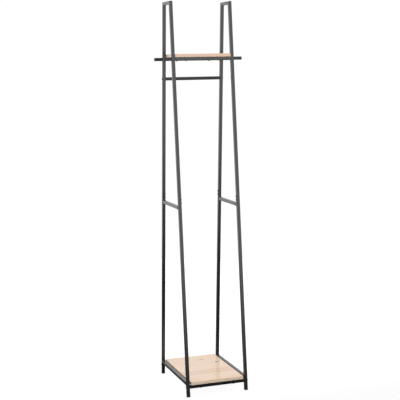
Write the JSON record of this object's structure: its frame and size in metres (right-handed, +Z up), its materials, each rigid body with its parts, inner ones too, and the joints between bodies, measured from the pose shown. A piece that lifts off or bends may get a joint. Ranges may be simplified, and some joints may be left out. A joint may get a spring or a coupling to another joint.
{
  "type": "hall tree with hooks",
  "caption": "Tall narrow hall tree: two A-shaped square-tube side frames, a low board, a small high shelf, a hanging rail and straight side hooks.",
  "frame": {"origin": "on the floor, in the middle of the four feet", "axes": "+Z up; +X from the left side frame to the right one; +Y from the front to the rear, so the front faces -Y"},
  "size_m": [0.376, 0.4112, 1.8],
  "materials": {
    "powder_coated_steel": "fine-textured matte black powder coat",
    "spigot_steel": "plain black oxide steel, hidden in the joints",
    "black_fastener": "satin black oxide",
    "black_plastic": "moulded matte black",
    "light_wood": "pale wood with a clear satin varnish"
  },
  "bodies": {
    "root": {"left_upper_front_leg": "powder_coated_steel", "left_upper_rear_leg": "powder_coated_steel", "left_top_rung": "powder_coated_steel", "left_mid_rung": "powder_coated_steel", "left_lower_front_leg": "powder_coated_steel", "left_lower_rear_leg": "powder_coated_steel", "left_base_side_rail": "powder_coated_steel", "left_front_spigot": "spigot_steel", "left_front_foot": "black_plastic", "left_front_joint_bolt_low": "black_fastener", "left_front_joint_bolt_high": "black_fastener", "left_front_hook": "powder_coated_steel", "left_front_hook_cap": "black_plastic", "left_base_front_rail_bolt": "black_fastener", "left_rear_spigot": "spigot_steel", "left_rear_foot": "black_plastic", "left_rear_joint_bolt_low": "black_fastener", "left_rear_joint_bolt_high": "black_fastener", "left_rear_hook": "powder_coated_steel", "left_rear_hook_cap": "black_plastic", "left_base_rear_rail_bolt": "black_fastener", "left_hanging_rail_bolt": "black_fastener", "right_upper_front_leg": "powder_coated_steel", "right_upper_rear_leg": "powder_coated_steel", "right_top_rung": "powder_coated_steel", "right_mid_rung": "powder_coated_steel", "right_lower_front_leg": "powder_coated_steel", "right_lower_rear_leg": "powder_coated_steel", "right_base_side_rail": "powder_coated_steel", "right_front_spigot": "spigot_steel", "right_front_foot": "black_plastic", "right_front_joint_bolt_low": "black_fastener", "right_front_joint_bolt_high": "black_fastener", "right_front_hook": "powder_coated_steel", "right_front_hook_cap": "black_plastic", "right_base_front_rail_bolt": "black_fastener", "right_rear_spigot": "spigot_steel", "right_rear_foot": "black_plastic", "right_rear_joint_bolt_low": "black_fastener", "right_rear_joint_bolt_high": "black_fastener", "right_rear_hook": "powder_coated_steel", "right_rear_hook_cap": "black_plastic", "right_base_rear_rail_bolt": "black_fastener", "right_hanging_rail_bolt": "black_fastener", "base_front_rail": "powder_coated_steel", "base_rear_rail": "powder_coated_steel", "shelf_front_bar": "powder_coated_steel", "shelf_rear_bar": "powder_coated_steel", "hanging_rail": "powder_coated_steel", "base_board": "light_wood", "base_board_front_left_screw": "black_fastener", "base_board_front_right_screw": "black_fastener", "base_board_rear_left_screw": "black_fastener", "base_board_rear_right_screw": "black_fastener", "shelf_board": "light_wood", "shelf_board_front_left_screw": "black_fastener", "shelf_board_front_right_screw": "black_fastener", "shelf_board_rear_left_screw": "black_fastener", "shelf_board_rear_right_screw": "black_fastener"}
  },
  "joints": []
}
